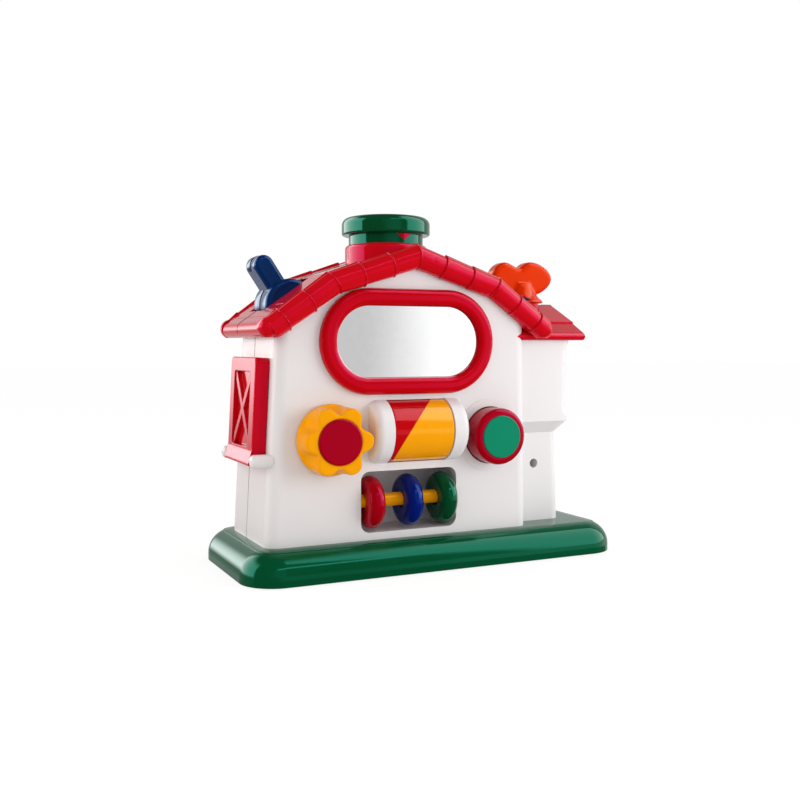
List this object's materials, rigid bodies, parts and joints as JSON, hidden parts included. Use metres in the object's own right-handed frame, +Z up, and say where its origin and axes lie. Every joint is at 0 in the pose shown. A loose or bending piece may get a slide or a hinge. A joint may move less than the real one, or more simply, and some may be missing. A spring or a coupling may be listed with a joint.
{
  "type": "toddler activity house",
  "caption": "Tabletop activity house: white two-part shell with a red tiled roof on a green tray, with mirror, knob, drum, button, ring beads, shutter, lever, key and chimney.",
  "frame": {"origin": "middle of the footprint on the surface the toy stands on, under its rubber feet", "axes": "+Z up, +X to the right and -Y to the front, facing the house's mirror side"},
  "size_m": [0.29, 0.1271, 0.2489],
  "materials": {
    "green_base": "gloss",
    "green_gloss": "gloss",
    "white_shell": "gloss",
    "red_roof": "gloss",
    "red_gloss": "gloss",
    "yellow_gloss": "gloss",
    "orange_gloss": "gloss",
    "blue_gloss": "gloss",
    "mirror_film": "polished",
    "grey_inner": "matte",
    "grey_rubber": "matte",
    "screw_steel": "satin",
    "spring_steel": "satin"
  },
  "bodies": {
    "house": {"base_tray": "green_base", "rubber_feet": "grey_rubber", "base_screws": "screw_steel", "front_shell": "white_shell", "back_shell": "white_shell", "shell_screws": "screw_steel", "annex_screw": "screw_steel", "roof_front": "red_roof", "roof_back": "red_roof", "mirror_frame": "red_gloss", "mirror_glass": "mirror_film", "mirror_backing": "white_shell", "click_spring": "spring_steel", "drum_axle": "spring_steel", "button_spring": "spring_steel", "button_carrier": "grey_inner", "carrier_screws": "screw_steel", "bead_rod": "yellow_gloss", "chimney_spring": "spring_steel", "lever_axle": "spring_steel", "shutter_pin": "spring_steel"},
    "star_knob": {"star_knob": "yellow_gloss", "knob_cap": "red_gloss", "knob_ratchet": "grey_inner", "knob_screw": "screw_steel"},
    "drum": {"drum_red": "red_gloss", "drum_yellow": "yellow_gloss"},
    "button": {"button_body": "red_gloss", "button_disc": "green_gloss"},
    "red_ring": {"bead_red": "red_gloss"},
    "blue_ring": {"bead_blue": "blue_gloss"},
    "green_ring": {"bead_green": "green_gloss"},
    "chimney": {"chimney_cap": "green_gloss", "chimney_pointer": "red_gloss", "chimney_retainer": "grey_inner", "chimney_screw": "screw_steel"},
    "lever": {"lever_front": "blue_gloss", "lever_back": "blue_gloss"},
    "key": {"wing_key": "orange_gloss", "key_pointer": "blue_gloss", "key_retainer": "grey_inner", "key_screw": "screw_steel"},
    "shutter": {"shutter": "red_gloss"}
  },
  "joints": [
    {"name": "star_knob_turn", "type": "hinge", "parent": "house", "child": "star_knob", "pos_m": [-0.0828, -0.0432, 0.0928], "axis": [0, 1, 0], "continuous": true},
    {"name": "drum_spin", "type": "hinge", "parent": "house", "child": "drum", "pos_m": [-0.0188, -0.0372, 0.097], "axis": [1, 0, 0], "continuous": true},
    {"name": "button_press", "type": "slide", "parent": "house", "child": "button", "axis": [0, 1, 0], "range_m": [0, 0.008], "stiffness_N_per_m": 300, "springref_m": -0.002, "deforming": ["button_spring"]},
    {"name": "red_ring_slide", "type": "slide", "parent": "house", "child": "red_ring", "axis": [1, 0, 0], "range_m": [-0.0029, 0.0091]},
    {"name": "blue_ring_slide", "type": "slide", "parent": "house", "child": "blue_ring", "axis": [1, 0, 0], "range_m": [-0.0073, 0.0047]},
    {"name": "green_ring_slide", "type": "slide", "parent": "house", "child": "green_ring", "axis": [1, 0, 0], "range_m": [-0.0096, 0.0022]},
    {"name": "chimney_press", "type": "slide", "parent": "house", "child": "chimney", "axis": [0, 0, -1], "range_m": [0, 0.0065], "stiffness_N_per_m": 350, "springref_m": -0.003, "deforming": ["chimney_spring"]},
    {"name": "lever_swing", "type": "hinge", "parent": "house", "child": "lever", "pos_m": [-0.0982, 0.004, 0.1841], "axis": [0, 1, 0], "range_deg": [-40, 40]},
    {"name": "key_turn", "type": "hinge", "parent": "house", "child": "key", "pos_m": [0.0954, 0.004, 0.189], "axis": [0, 0, 1], "continuous": true},
    {"name": "shutter_drop", "type": "hinge", "parent": "house", "child": "shutter", "pos_m": [-0.12948, -0.0027, 0.08], "axis": [0, -1, 0], "range_deg": [0, 95]}
  ]
}
